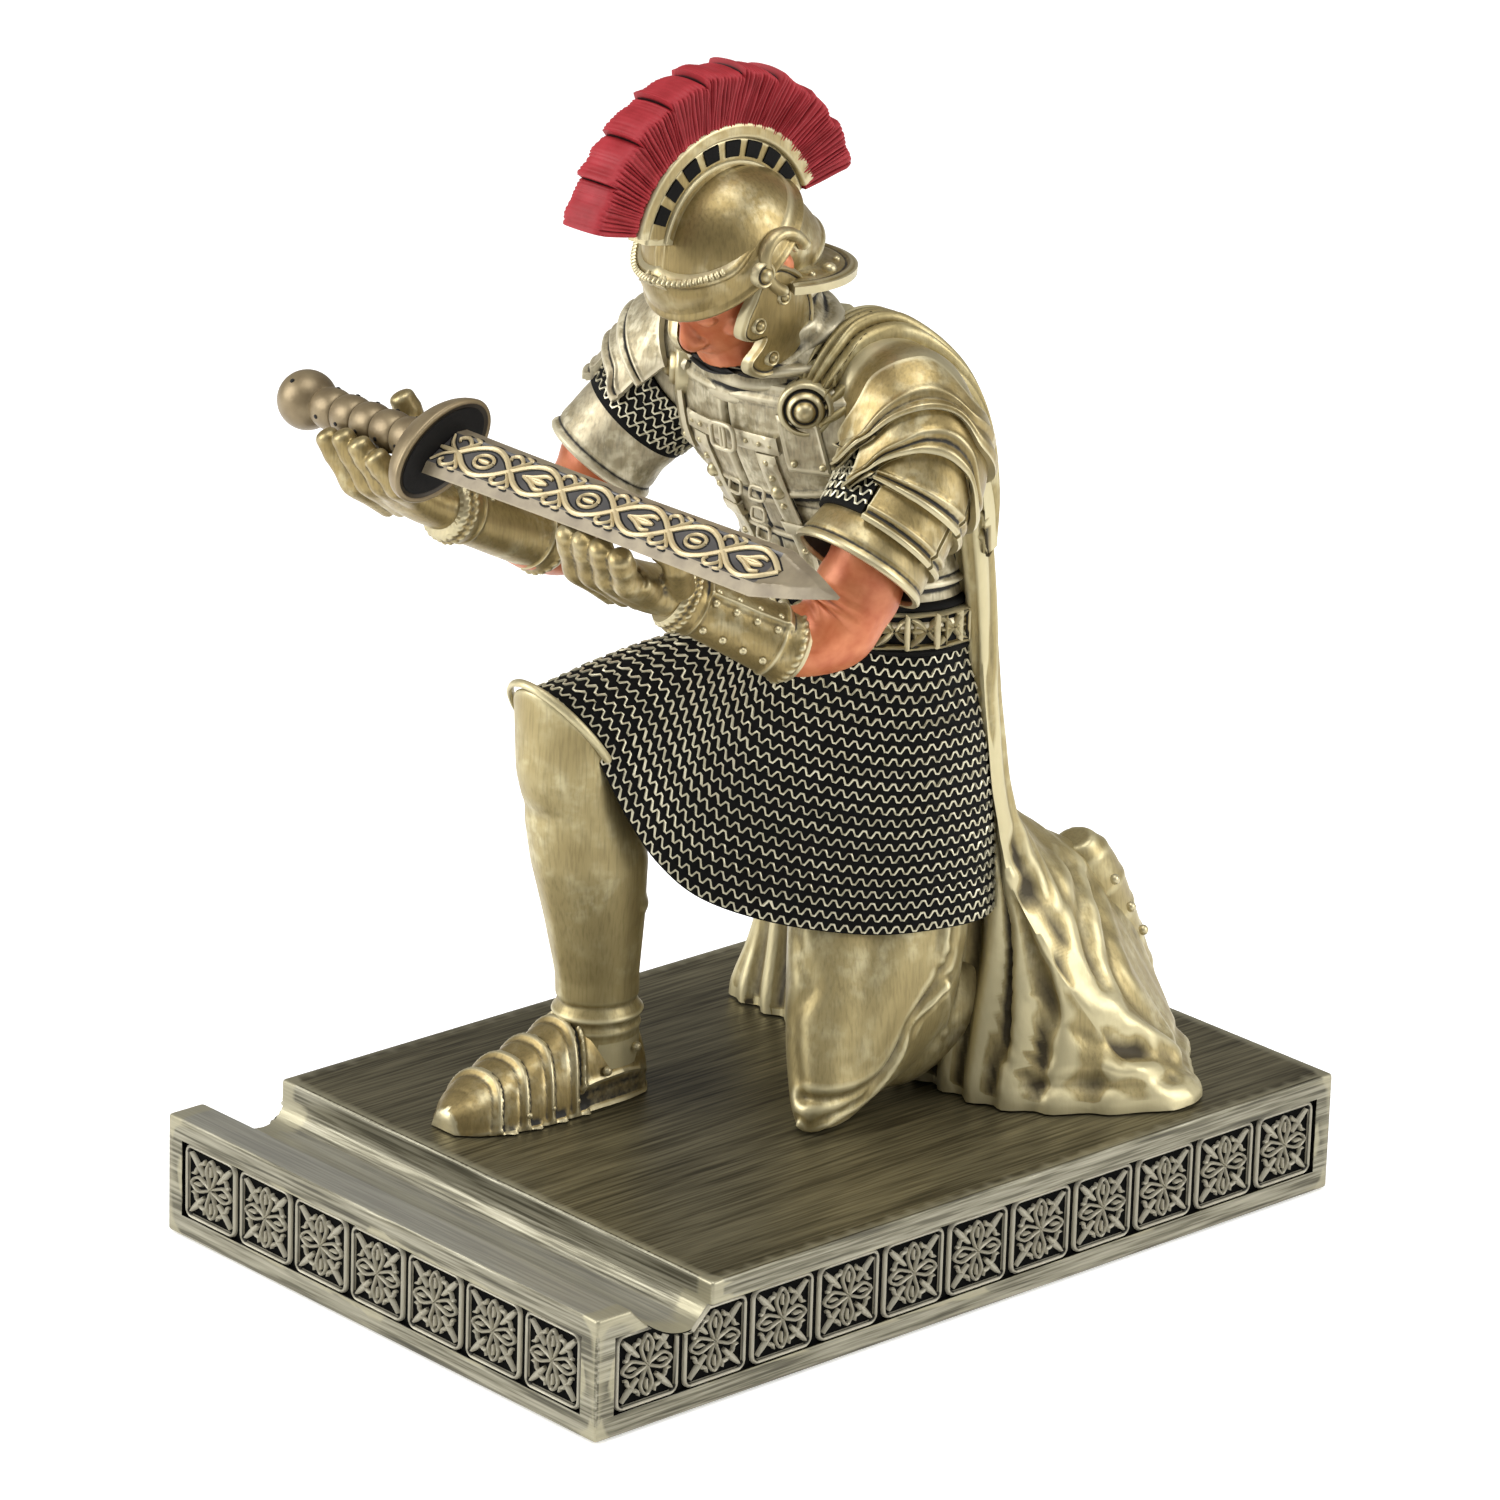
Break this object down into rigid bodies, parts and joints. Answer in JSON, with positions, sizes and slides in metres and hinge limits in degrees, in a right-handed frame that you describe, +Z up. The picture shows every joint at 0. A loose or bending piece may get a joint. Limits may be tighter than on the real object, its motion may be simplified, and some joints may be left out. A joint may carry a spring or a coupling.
{
  "type": "roman soldier pen holder",
  "caption": "Desk figure of a kneeling soldier in crested helmet, armour and cloak who holds out a sword-shaped pen, on a tiled plinth with a phone groove.",
  "frame": {"origin": "centre of the plinth's underside", "axes": "+Z up; the soldier looks towards -Y, where the phone groove is; the soldier's left is +X"},
  "size_m": [0.1291, 0.1614, 0.1952],
  "materials": {
    "plinth_bronze": "brushed antique bronze paint on cast resin, dark wash in the tile band",
    "antique_brass": "satin antique brass paint on cast resin, dark wash in the hollows",
    "sword_silver": "satin old silver paint with raised scrollwork"
  },
  "bodies": {
    "root": {"base": "plinth_bronze", "soldier": "antique_brass", "sword_pen": "sword_silver"}
  },
  "joints": []
}
